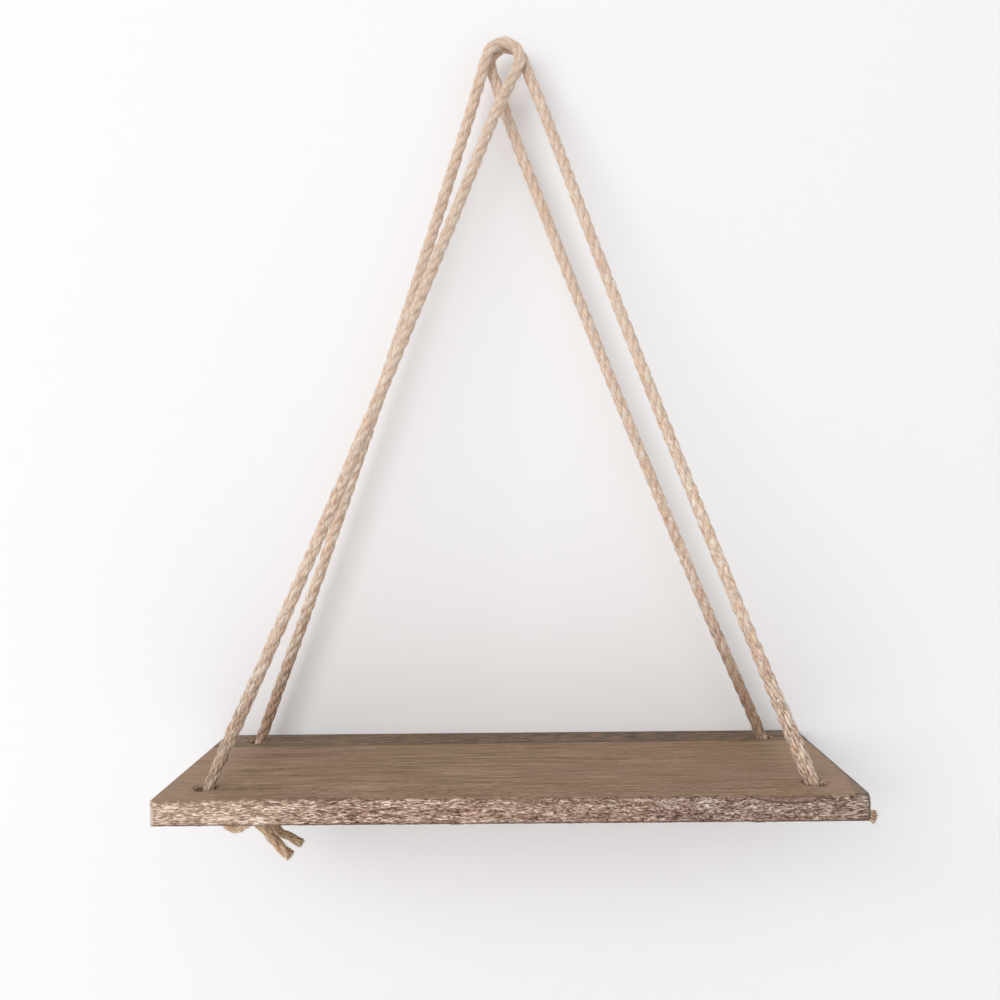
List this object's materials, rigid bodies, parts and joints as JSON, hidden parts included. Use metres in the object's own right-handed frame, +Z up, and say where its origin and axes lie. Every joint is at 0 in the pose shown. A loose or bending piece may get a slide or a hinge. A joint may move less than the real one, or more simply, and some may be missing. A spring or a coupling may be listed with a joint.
{
  "type": "hanging rope shelf",
  "caption": "Hanging shelf: a thick rough-edged wooden board slung from a single wall hook by jute ropes that pass through holes near its ends and are knotted underneath.",
  "frame": {"origin": "the spot under the two rope loops where a hook carries them", "axes": "+Z up, +Y towards the wall, +X along the board to the right as seen from the room"},
  "size_m": [0.4628, 0.1599, 0.5773],
  "materials": {
    "wood": "matte, open grain, rough-hewn front edge",
    "jute_rope": "matte three-strand laid jute, hairy"
  },
  "bodies": {
    "hook_loops": {"left_loop": "jute_rope", "right_loop": "jute_rope"},
    "rope_necks": {"left_back_neck": "jute_rope", "left_front_neck": "jute_rope", "right_back_neck": "jute_rope", "right_front_neck": "jute_rope"},
    "shelf": {"board": "wood", "left_back_leg": "jute_rope", "left_front_leg": "jute_rope", "left_back_turn": "jute_rope", "left_front_turn": "jute_rope", "left_back_end": "jute_rope", "left_front_end": "jute_rope", "right_back_leg": "jute_rope", "right_front_leg": "jute_rope", "right_back_turn": "jute_rope", "right_front_turn": "jute_rope", "right_back_end": "jute_rope", "right_front_end": "jute_rope"}
  },
  "joints": [
    {"name": "sideways_sway", "type": "hinge", "parent": "hook_loops", "child": "rope_necks", "pos_m": [-0.0029, 0, -0.0175], "axis": [0, 1, 0], "range_deg": [-15, 15], "deforming": ["left_loop", "right_loop", "left_back_neck", "left_front_neck", "right_back_neck", "right_front_neck"]},
    {"name": "swing_from_wall", "type": "hinge", "parent": "rope_necks", "child": "shelf", "pos_m": [-0.0029, 0, -0.05], "axis": [-1, 0, 0], "range_deg": [0, 25], "deforming": ["left_back_neck", "left_front_neck", "right_back_neck", "right_front_neck"]}
  ]
}
